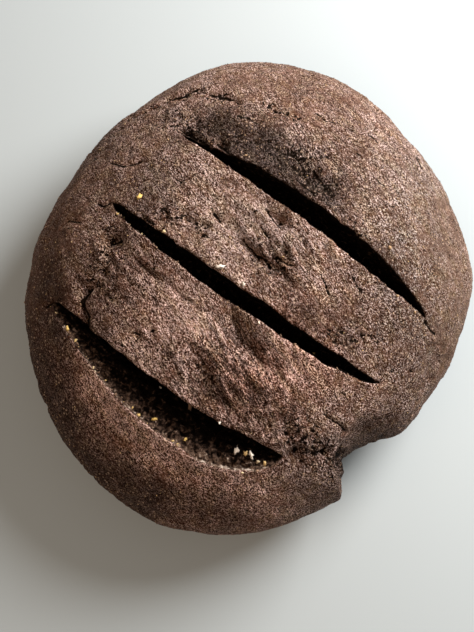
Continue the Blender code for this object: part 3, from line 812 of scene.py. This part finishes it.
def ryeCrustMaterial():
    # baked dark rye dough: matte, salt-and-pepper grain, tan bran specks, painted black shade in the pores,
    # cracks, pits and cut walls, and painted highlights on torn rims
    material = bpy.data.materials.new("baked_dark_rye_crust")
    material.use_nodes = True
    tree = material.node_tree
    shader = tree.nodes["Principled BSDF"]
    place = addNode(tree, "ShaderNodeTexCoord").outputs["Object"]
    grit = addNode(tree, "ShaderNodeTexNoise", inputs={
        "Vector": place, "Scale": perMm(crustLook["grit"]), "Detail": 3.0, "Roughness": 0.6})
    pulled = addNode(tree, "ShaderNodeMapping", {"vector_type": 'TEXTURE'}, {
        "Vector": place, "Rotation": (0.0, 0.0, math.radians(crustLook["strandTurn"])),
        "Scale": (crustLook["strandStretch"], 1.0, 1.0)})
    strand = addNode(tree, "ShaderNodeTexNoise", inputs={
        "Vector": pulled.outputs["Vector"], "Scale": perMm(crustLook["strand"]), "Detail": 3.0,
        "Roughness": 0.6, "Distortion": 0.8})
    streak = addNode(tree, "ShaderNodeTexNoise", inputs={
        "Vector": pulled.outputs["Vector"], "Scale": perMm(crustLook["streak"]), "Detail": 4.0,
        "Roughness": 0.62, "Distortion": 0.8})
    grain = addNode(tree, "ShaderNodeMix", {"data_type": 'FLOAT'}, {
        0: 0.5, 2: grit.outputs["Fac"], 3: strand.outputs["Fac"]})
    drawn = addNode(tree, "ShaderNodeMapping", {"vector_type": 'TEXTURE'}, {
        "Vector": place, "Rotation": (0.0, 0.0, math.radians(crustLook["strandTurn"])),
        "Scale": (crustLook["wrinkleStretch"], 1.0, 1.0)})
    wrinkle = addNode(tree, "ShaderNodeTexNoise", inputs={
        "Vector": drawn.outputs["Vector"], "Scale": perMm(crustLook["wrinkle"]), "Detail": 3.0,
        "Roughness": 0.55, "Distortion": 1.0})
    wrinkleSide = addNode(tree, "ShaderNodeMath", {"operation": 'SUBTRACT'}, {
        0: wrinkle.outputs["Fac"], 1: 0.5})
    wrinkleAway = addNode(tree, "ShaderNodeMath", {"operation": 'ABSOLUTE'}, {
        0: wrinkleSide.outputs["Value"]})
    wrinkleLine = addNode(tree, "ShaderNodeMapRange", inputs={
        "Value": wrinkleAway.outputs["Value"], "From Min": 0.0, "From Max": 0.05,
        "To Min": 0.75, "To Max": 0.0})
    # furrows of the hairline wrinkles, painted dark as the shade in them
    wrinkled = addNode(tree, "ShaderNodeAttribute", {"attribute_name": "wrinkled"})
    furrow = addNode(tree, "ShaderNodeMath", {"operation": 'MULTIPLY', "use_clamp": True}, {
        0: wrinkleLine.outputs["Result"], 1: wrinkled.outputs["Fac"]})
    tint = addNode(tree, "ShaderNodeTexNoise", inputs={
        "Vector": pulled.outputs["Vector"], "Scale": perMm(crustLook["tint"]),
        "Detail": 2.0, "Roughness": 0.6})
    patch = addNode(tree, "ShaderNodeTexNoise", inputs={
        "Vector": place, "Scale": perMm(crustLook["patch"]), "Detail": 3.0, "Roughness": 0.6})
    cloud = addNode(tree, "ShaderNodeTexNoise", inputs={
        "Vector": place, "Scale": perMm(crustLook["cloud"]), "Detail": 1.0, "Roughness": 0.5})
    specks = addNode(tree, "ShaderNodeTexVoronoi", {"feature": 'F1'}, {
        "Vector": place, "Scale": perMm(crustLook["speck"])})
    speckKind = addNode(tree, "ShaderNodeSeparateColor", inputs={"Color": specks.outputs["Color"]})
    coarse = addNode(tree, "ShaderNodeAttribute", {"attribute_name": "coarse"})
    grainSide = addNode(tree, "ShaderNodeMath", {"operation": 'SUBTRACT'}, {
        0: grain.outputs[0], 1: 0.5})
    coarsened = addNode(tree, "ShaderNodeMath", {"operation": 'MULTIPLY_ADD'}, {
        0: grainSide.outputs["Value"], 1: coarse.outputs["Fac"], 2: crustLook["grainLevel"]})
    # tone carries the baked colour together with painted shade and painted highlights
    tone = addNode(tree, "ShaderNodeAttribute", {"attribute_name": "tone"})
    paler = addNode(tree, "ShaderNodeMath", {"operation": 'SUBTRACT', "use_clamp": True}, {
        0: tone.outputs["Fac"], 1: 1.0})
    duller = addNode(tree, "ShaderNodeMath", {"operation": 'MINIMUM'}, {
        0: tone.outputs["Fac"], 1: 1.0})
    level = addNode(tree, "ShaderNodeMath", {"operation": 'MULTIPLY_ADD'}, {
        0: paler.outputs["Value"], 1: crustLook["paling"], 2: coarsened.outputs["Value"]})
    ashen = addNode(tree, "ShaderNodeValToRGB", {"stops": (
        (0.38, "200a03"), (0.44, "442616"), (0.50, "604234"), (0.56, "816455"), (0.62, "a78b7f"),
        (0.70, "d9c0b6"))},
        {"Fac": level.outputs["Value"]})
    golden = addNode(tree, "ShaderNodeValToRGB", {"stops": (
        (0.38, "200b02"), (0.44, "432612"), (0.50, "5f432d"), (0.56, "80654c"), (0.62, "a68c72"),
        (0.70, "d8c2a8"))},
        {"Fac": level.outputs["Value"]})
    goldenShare = addNode(tree, "ShaderNodeMapRange", inputs={
        "Value": tint.outputs["Fac"], "From Min": 0.38, "From Max": 0.62,
        "To Min": -0.4, "To Max": 0.55})
    blended = addNode(tree, "ShaderNodeMix", {"data_type": 'RGBA'}, {
        0: goldenShare.outputs["Result"], 6: ashen.outputs["Color"], 7: golden.outputs["Color"]})
    # warmth: partly a painted cast of shade, warmer brown where shade falls and cooler where light falls
    warmth = addNode(tree, "ShaderNodeAttribute", {"attribute_name": "warmth"})
    cast = addNode(tree, "ShaderNodeMix", {"data_type": 'VECTOR', "clamp_factor": False}, {
        0: warmth.outputs["Fac"], 4: crustLook["coolCast"], 5: crustLook["warmCast"]})
    gritColour = addNode(tree, "ShaderNodeVectorMath", {"operation": 'MULTIPLY'}, {
        0: blended.outputs[2], 1: cast.outputs[1]})
    patchShade = addNode(tree, "ShaderNodeMapRange", inputs={
        "Value": patch.outputs["Fac"], "From Min": 0.3, "From Max": 0.7,
        "To Min": 0.84, "To Max": 1.14})
    streakShade = addNode(tree, "ShaderNodeMapRange", inputs={
        "Value": streak.outputs["Fac"], "From Min": 0.35, "From Max": 0.65,
        "To Min": 0.74, "To Max": 1.22})
    cloudShade = addNode(tree, "ShaderNodeMapRange", inputs={
        "Value": cloud.outputs["Fac"], "From Min": 0.3, "From Max": 0.7,
        "To Min": 0.85, "To Max": 1.12})
    drift = addNode(tree, "ShaderNodeMath", {"operation": 'MULTIPLY'}, {
        0: patchShade.outputs["Result"], 1: cloudShade.outputs["Result"]})
    mottle = addNode(tree, "ShaderNodeMath", {"operation": 'MULTIPLY'}, {
        0: drift.outputs["Value"], 1: streakShade.outputs["Result"]})
    shade = addNode(tree, "ShaderNodeMath", {"operation": 'MULTIPLY'}, {
        0: mottle.outputs["Value"], 1: duller.outputs["Value"]})
    shaded = addNode(tree, "ShaderNodeVectorMath", {"operation": 'SCALE'}, {
        0: gritColour.outputs["Vector"], "Scale": shade.outputs["Value"]})
    paleKind = addNode(tree, "ShaderNodeMath", {"operation": 'GREATER_THAN'}, {
        0: speckKind.outputs["Red"], 1: 0.88})
    paleRound = addNode(tree, "ShaderNodeMapRange", inputs={
        "Value": specks.outputs["Distance"], "From Min": 0.45, "From Max": 0.30,
        "To Min": 0.0, "To Max": 0.75})
    pale = addNode(tree, "ShaderNodeMath", {"operation": 'MULTIPLY'}, {
        0: paleKind.outputs["Value"], 1: paleRound.outputs["Result"]})
    branned = addNode(tree, "ShaderNodeMix", {"data_type": 'RGBA'}, {
        0: pale.outputs["Value"], 6: shaded.outputs["Vector"], 7: linearColour("b89a82")})
    # pinholes painted near black as the shade inside them
    holeKind = addNode(tree, "ShaderNodeMath", {"operation": 'LESS_THAN'}, {
        0: speckKind.outputs["Green"], 1: 0.06})
    holeRound = addNode(tree, "ShaderNodeMapRange", inputs={
        "Value": specks.outputs["Distance"], "From Min": 0.42, "From Max": 0.25,
        "To Min": 0.0, "To Max": 0.85})
    pinhole = addNode(tree, "ShaderNodeMath", {"operation": 'MULTIPLY'}, {
        0: holeKind.outputs["Value"], 1: holeRound.outputs["Result"]})
    hollow = addNode(tree, "ShaderNodeAttribute", {"attribute_name": "hollow"})
    torn = addNode(tree, "ShaderNodeAttribute", {"attribute_name": "torn"})
    tears = addNode(tree, "ShaderNodeTexNoise", inputs={
        "Vector": place, "Scale": perMm(crustLook["tear"]),
        "Detail": 3.0, "Roughness": 0.6, "Distortion": 0.6})
    # torn pits painted near black as the shade in them
    tearLevel = addNode(tree, "ShaderNodeMath", {"operation": 'MULTIPLY_ADD'}, {
        0: torn.outputs["Fac"], 1: -0.16, 2: tears.outputs["Fac"]})
    tear = addNode(tree, "ShaderNodeMapRange", inputs={
        "Value": tearLevel.outputs["Value"], "From Min": 0.34, "From Max": 0.30,
        "To Min": 0.0, "To Max": 1.0})
    # painted highlight: a bright ring round the torn pits where their rims would catch light
    tearRimSide = addNode(tree, "ShaderNodeMath", {"operation": 'SUBTRACT'}, {
        0: tearLevel.outputs["Value"], 1: 0.37})
    tearRimAway = addNode(tree, "ShaderNodeMath", {"operation": 'ABSOLUTE'}, {
        0: tearRimSide.outputs["Value"]})
    tearRimHighlight = addNode(tree, "ShaderNodeMapRange", inputs={
        "Value": tearRimAway.outputs["Value"], "From Min": 0.0, "From Max": 0.03,
        "To Min": 0.8, "To Max": 0.0})
    tearRimHighlightShade = addNode(tree, "ShaderNodeMath", {"operation": 'MULTIPLY_ADD'}, {
        0: tearRimHighlight.outputs["Result"], 1: torn.outputs["Fac"], 2: 1.0})
    tearRimsHighlighted = addNode(tree, "ShaderNodeVectorMath", {"operation": 'SCALE'}, {
        0: branned.outputs[2], "Scale": tearRimHighlightShade.outputs["Value"]})
    pitted = addNode(tree, "ShaderNodeMath", {"operation": 'MAXIMUM'}, {
        0: pinhole.outputs["Value"], 1: tear.outputs["Result"]})
    holes = addNode(tree, "ShaderNodeMath", {"operation": 'MAXIMUM'}, {
        0: pitted.outputs["Value"], 1: furrow.outputs["Value"]})
    frayed = addNode(tree, "ShaderNodeMath", {"operation": 'MULTIPLY_ADD'}, {
        0: tears.outputs["Fac"], 1: -1.0, 2: hollow.outputs["Fac"]})
    crackRound = addNode(tree, "ShaderNodeMapRange", inputs={
        "Value": frayed.outputs["Value"], "From Min": 0.14, "From Max": 0.24,
        "To Min": 0.0, "To Max": 1.0})
    # painted shade: cracks, pits, pores, pinholes, tears and furrows are coloured near black as the shade in
    # them
    dark = addNode(tree, "ShaderNodeMath", {"operation": 'MAXIMUM'}, {
        0: holes.outputs["Value"], 1: crackRound.outputs["Result"]})
    hollowsShadedBlack = addNode(tree, "ShaderNodeMix", {"data_type": 'RGBA'}, {
        0: dark.outputs["Value"], 6: tearRimsHighlighted.outputs["Vector"], 7: linearColour("0f0905")})
    inCut = addNode(tree, "ShaderNodeAttribute", {"attribute_name": "inCut"})
    shelf = addNode(tree, "ShaderNodeAttribute", {"attribute_name": "shelf"})
    # painted light and shade in the cuts: the crumb is near black where no light reaches and paler up the
    # shelf that light reaches
    crumbLevel = addNode(tree, "ShaderNodeMath", {"operation": 'MULTIPLY_ADD'}, {
        0: shelf.outputs["Fac"], 1: 0.24, 2: tears.outputs["Fac"]})
    crumb = addNode(tree, "ShaderNodeValToRGB", {"stops": (
        (0.50, "040303"), (0.58, "19120e"), (0.66, "44332a"), (0.78, "6f5848"), (0.90, "cdb9a6"))},
        {"Fac": crumbLevel.outputs["Value"]})
    colour = addNode(tree, "ShaderNodeMix", {"data_type": 'RGBA'}, {
        0: inCut.outputs["Fac"], 6: hollowsShadedBlack.outputs[2], 7: crumb.outputs["Color"]})
    tree.links.new(colour.outputs[2], shader.inputs["Base Color"])
    rough = addNode(tree, "ShaderNodeMapRange", inputs={
        "Value": grit.outputs["Fac"], "From Min": 0.3, "From Max": 0.7, "To Min": 0.9, "To Max": 0.62})
    tree.links.new(rough.outputs["Result"], shader.inputs["Roughness"])
    shader.inputs["IOR"].default_value = 1.45
    shader.inputs["Specular IOR Level"].default_value = 0.2
    shader.inputs["Specular Tint"].default_value = linearColour("b58a6c")
    humped = addNode(tree, "ShaderNodeMath", {"operation": 'MULTIPLY_ADD'}, {
        0: streak.outputs["Fac"], 1: 0.5, 2: grain.outputs[0]})
    raised = addNode(tree, "ShaderNodeMath", {"operation": 'SUBTRACT'}, {
        0: humped.outputs["Value"], 1: holes.outputs["Value"]})
    relief = addNode(tree, "ShaderNodeBump", inputs={
        "Height": raised.outputs["Value"], "Strength": 1.0, "Distance": crustLook["bumpHeight"]})
    tree.links.new(relief.outputs["Normal"], shader.inputs["Normal"])
    return material


crust.data.materials.append(ryeCrustMaterial())


bran = {
    "grainsPerArea": 100000.0,   # on a square metre of crust
    "smallest": 0.00016,         # radii in metres
    "largest": 0.00038,
    "lowest": 0.010,             # height over the base where the grains start
    "patch": 14.0,               # mm, thicker and thinner patches
    "seed": 7,
}


def branTree(kind):
    # bran grains strewn on the host's crust, thicker in some patches than in others
    tree = bpy.data.node_groups.new("strewn_bran", "GeometryNodeTree")
    tree.interface.new_socket("Crust", in_out='INPUT', socket_type='NodeSocketGeometry')
    for name in ("Grains per area", "Smallest", "Largest", "Lowest"):
        tree.interface.new_socket(name, in_out='INPUT', socket_type='NodeSocketFloat')
    tree.interface.new_socket("Seed", in_out='INPUT', socket_type='NodeSocketInt')
    tree.interface.new_socket("Bran", in_out='OUTPUT', socket_type='NodeSocketGeometry')
    given = addNode(tree, "NodeGroupInput")
    place = addNode(tree, "GeometryNodeInputPosition")
    height = addNode(tree, "ShaderNodeSeparateXYZ", inputs={0: place.outputs["Position"]})
    inCut = addNode(tree, "GeometryNodeInputNamedAttribute", {"data_type": 'FLOAT'}, {"Name": "inCut"})
    highEnough = addNode(tree, "FunctionNodeCompare", {"data_type": 'FLOAT', "operation": 'GREATER_THAN'}, {
        0: height.outputs["Z"], 1: given.outputs["Lowest"]})
    onCrust = addNode(tree, "FunctionNodeCompare", {"data_type": 'FLOAT', "operation": 'LESS_THAN'}, {
        0: inCut.outputs["Attribute"], 1: 0.1})
    chosen = addNode(tree, "FunctionNodeBooleanMath", {"operation": 'AND'}, {
        0: highEnough.outputs["Result"], 1: onCrust.outputs["Result"]})
    patches = addNode(tree, "ShaderNodeTexNoise", inputs={
        "Vector": place.outputs["Position"], "Scale": perMm(bran["patch"]), "Detail": 1.0})
    thickness = addNode(tree, "ShaderNodeMapRange", inputs={
        "Value": patches.outputs["Fac"], "From Min": 0.35, "From Max": 0.65,
        "To Min": 0.35, "To Max": 1.65})
    density = addNode(tree, "ShaderNodeMath", {"operation": 'MULTIPLY'}, {
        0: thickness.outputs["Result"], 1: given.outputs["Grains per area"]})
    points = addNode(tree, "GeometryNodeDistributePointsOnFaces", {"distribute_method": 'RANDOM'}, {
        "Mesh": given.outputs["Crust"], "Selection": chosen.outputs["Boolean"],
        "Density": density.outputs["Value"], "Seed": given.outputs["Seed"]})
    pebble = addNode(tree, "GeometryNodeMeshIcoSphere", inputs={"Radius": 1.0, "Subdivisions": 1})
    spin = addNode(tree, "FunctionNodeRandomValue", {"data_type": 'FLOAT_VECTOR'}, {
        0: (0.0, 0.0, 0.0), 1: (6.28, 6.28, 6.28), "Seed": given.outputs["Seed"]})
    size = addNode(tree, "FunctionNodeRandomValue", {"data_type": 'FLOAT'}, {
        2: given.outputs["Smallest"], 3: given.outputs["Largest"], "Seed": 3})
    shape = addNode(tree, "FunctionNodeRandomValue", {"data_type": 'FLOAT_VECTOR'}, {
        0: (0.7, 0.6, 0.45), 1: (1.5, 1.1, 0.9), "Seed": 5})
    scale = addNode(tree, "ShaderNodeVectorMath", {"operation": 'SCALE'}, {
        0: shape.outputs["Value"], "Scale": size.outputs[1]})
    grains = addNode(tree, "GeometryNodeInstanceOnPoints", inputs={
        "Points": points.outputs["Points"], "Instance": pebble.outputs["Mesh"],
        "Rotation": spin.outputs["Value"], "Scale": scale.outputs["Vector"]})
    tint = addNode(tree, "FunctionNodeRandomValue", {"data_type": 'FLOAT'}, {2: 0.0, 3: 0.9, "Seed": 11})
    tinted = addNode(tree, "GeometryNodeStoreNamedAttribute", {
        "data_type": 'FLOAT', "domain": 'INSTANCE'}, {
        "Geometry": grains.outputs["Instances"], "Name": "tint", "Value": tint.outputs[1]})
    real = addNode(tree, "GeometryNodeRealizeInstances", inputs={"Geometry": tinted.outputs["Geometry"]})
    dressed = addNode(tree, "GeometryNodeSetMaterial", inputs={
        "Geometry": real.outputs["Geometry"], "Material": kind})
    addNode(tree, "NodeGroupOutput", inputs={"Bran": dressed.outputs["Geometry"]})
    return tree


def branMaterial():
    # dry rye bran and flour grit: dull flakes from dark brown over tan to pale straw
    material = bpy.data.materials.new("dry_rye_bran")
    material.use_nodes = True
    tree = material.node_tree
    shader = tree.nodes["Principled BSDF"]
    tint = addNode(tree, "ShaderNodeAttribute", {"attribute_name": "tint"})
    colour = addNode(tree, "ShaderNodeValToRGB", {"stops": (
        (0.0, "2b1a11"), (0.4, "5d4332"), (0.75, "8f6f55"), (0.88, "bf9c6e"), (0.95, "d9b364"),
        (1.0, "d6c6b4"))},
        {"Fac": tint.outputs["Fac"]})
    tree.links.new(colour.outputs["Color"], shader.inputs["Base Color"])
    shader.inputs["Roughness"].default_value = 0.8
    shader.inputs["IOR"].default_value = 1.45
    return material


branKind = branMaterial()


def strewBran():
    grains = bpy.data.objects.new("bran_grains", crust.data.copy())
    bpy.context.scene.collection.objects.link(grains)
    strew = grains.modifiers.new("strew", 'NODES')
    strew.node_group = branTree(branKind)
    wanted = {"Grains per area": bran["grainsPerArea"], "Smallest": bran["smallest"],
              "Largest": bran["largest"], "Lowest": bran["lowest"], "Seed": bran["seed"]}
    for item in strew.node_group.interface.items_tree:
        if item.in_out == 'INPUT' and item.name in wanted:
            strew[item.identifier] = wanted[item.name]
    settled = grains.evaluated_get(bpy.context.evaluated_depsgraph_get())
    mesh = bpy.data.meshes.new_from_object(settled)
    grains.modifiers.clear()
    grains.data = mesh
    print("bran strewn:", len(mesh.polygons), "faces")
    return grains


branGrains = strewBran()


# Loose crumbs: size, tint from dark over yellow to pale, place.
looseCrumbs = (
    (2.0, 0.95, (-48.5, 31)), (2.0, 1.0, (-13.0, -2.3)), (2.1, 1.0, (-3.2, -9.6)),
    (1.4, 0.97, (-37, 14)), (1.3, 1.0, (-39, -51.4)), (1.2, 1.0, (-13, -67.4)), (1.9, 0.95, (-80, -26)),
    (1.4, 0.96, (-76, -31)), (2.6, 0.6, (-26.8, -60)), (1.7, 0.95, (-40.5, -65.3)),
    (1.4, 0.95, (-27.7, -73.7)), (2.7, 1.0, (-6, -77.7)), (2.2, 0.9, (-2, -80)), (2.3, 1.0, (0, -80.7)),
    (1.8, 0.98, (3.4, -83.1)), (1.6, 0.9, (6, -84)), (1.5, 0.85, (20, -33)), (1.3, 0.9, (27, -37)),
    (1.4, 0.8, (60, 8)), (1.2, 0.8, (-2, 49)),
)
lipCrumbs = {
    "perSlash": {"lower": 45, "middle": 40, "upper": 15},
    "sizes": (0.4, 1.1),
    "seed": 19,
}


def crumbPlaces():
    # the listed crumbs, then fine ones in a row on the right lip of each slash
    pieces = list(looseCrumbs)
    rng = random.Random(lipCrumbs["seed"])
    for name, count in lipCrumbs["perSlash"].items():
        slash = slashes[name]
        start, run, side, length = slashAxes(slash)
        for piece in range(count):
            along = rng.uniform(0.03, 0.97)
            across = slash["lips"][0] * float(lens(slash, np.array([along]))[0]) - rng.uniform(0.1, 1.6)
            x, y = start + run * length * along + side * across
            pieces.append((rng.uniform(*lipCrumbs["sizes"]), rng.uniform(0.4, 1.0), (x, y)))
    return pieces


def makeCrumbs():
    # small lumps of torn crumb that lie on the crust under their places in plan
    surface = BVHTree.FromObject(crust, bpy.context.evaluated_depsgraph_get())
    rng = random.Random(lipCrumbs["seed"] + 1)
    coords = []
    faces = []
    tints = []
    bpy.ops.mesh.primitive_ico_sphere_add(subdivisions=2, radius=0.5)
    model = bpy.context.object
    lump = [vertex.co.copy() for vertex in model.data.vertices]
    lumpFaces = [tuple(face.vertices) for face in model.data.polygons]
    bpy.data.objects.remove(model, do_unlink=True)
    for size, tint, (x, y) in crumbPlaces():
        above = Vector((x + loaf["shift"][0], y + loaf["shift"][1], 200.0)) * mm
        hit, normal, face, distance = surface.ray_cast(above, Vector((0.0, 0.0, -1.0)))
        if hit is None or hit.z < 0.03:
            continue
        middle = hit / mm + normal * 0.25 * size
        stretch = Vector((rng.uniform(0.8, 1.5), rng.uniform(0.6, 1.0), rng.uniform(0.4, 0.8)))
        spin = Euler((rng.uniform(-0.5, 0.5), rng.uniform(-0.5, 0.5), rng.uniform(0.0, 6.28)))
        corner = len(coords)
        for place in lump:
            swell = 1.0 + 1.5 * noise.noise(place * 5.0 + middle)
            shaped = Vector(a * b for a, b in zip(place * size * swell, stretch))
            shaped.rotate(spin)
            coords.append(middle + shaped)
            tints.append(tint)
        faces.extend([corner + k for k in corners] for corners in lumpFaces)
    crumbs = meshObject("loose_crumbs", coords, faces, {"tint": tints})
    crumbs.data.materials.append(branKind)
    print("crumbs laid:", len(crumbs.data.polygons), "faces")
    return crumbs


crumbs = makeCrumbs()


def makeFloor():
    bpy.ops.mesh.primitive_plane_add(size=4.0)
    floor = bpy.context.object
    floor.name = "studio_floor"
    material = bpy.data.materials.new("matte_pale_paper")
    material.use_nodes = True
    shader = material.node_tree.nodes["Principled BSDF"]
    shader.inputs["Base Color"].default_value = linearColour("aaaeac")
    shader.inputs["Roughness"].default_value = 0.9
    floor.data.materials.append(material)


studio = {
    "keyPlace": (0.42, 0.31, 0.40),
    "keySize": 0.42,
    "keyPower": 11.0,
    "fillPlace": (-0.5, -0.4, 0.8),
    "fillSize": 0.8,
    "fillPower": 3.0,
    "sky": 0.28,
    "aim": (-0.00545, -0.0128, 0.030),
    "elevation": 78.0,
    "distance": 0.45,
    "lens": 54.3,
}


def areaLight(name, place, size, power, colour):
    light = bpy.data.lights.new(name, 'AREA')
    light.shape = 'DISK'
    light.size = size
    light.energy = power
    light.color = linearColour(colour)[:3]
    lamp = bpy.data.objects.new(name, light)
    lamp.location = place
    lamp.rotation_euler = (Vector(studio["aim"]) - Vector(place)).to_track_quat('-Z', 'Y').to_euler()
    bpy.context.scene.collection.objects.link(lamp)


def makeStudio():
    areaLight("key_from_upper_right", studio["keyPlace"], studio["keySize"], studio["keyPower"], "fbfcff")
    areaLight("soft_fill", studio["fillPlace"], studio["fillSize"], studio["fillPower"], "ffe0c2")
    world = bpy.data.worlds.new("soft_room")
    world.use_nodes = True
    sky = world.node_tree.nodes["Background"]
    sky.inputs["Color"].default_value = linearColour("f3f1ee")
    sky.inputs["Strength"].default_value = studio["sky"]
    scene = bpy.context.scene
    scene.world = world
    scene.view_settings.view_transform = 'Standard'
    aim = Vector(studio["aim"])
    tilt = math.radians(studio["elevation"])
    camera = bpy.data.objects.new("overhead_camera", bpy.data.cameras.new("overhead_camera"))
    camera.location = aim + studio["distance"] * Vector((0.0, -math.cos(tilt), math.sin(tilt)))
    camera.rotation_euler = (aim - camera.location).to_track_quat('-Z', 'Y').to_euler()
    camera.data.lens = studio["lens"]
    camera.data.clip_start = 0.01
    scene.collection.objects.link(camera)
    scene.camera = camera


makeFloor()
makeStudio()
for piece in (crust, branGrains, crumbs):
    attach(piece, "root")
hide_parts("loaf")
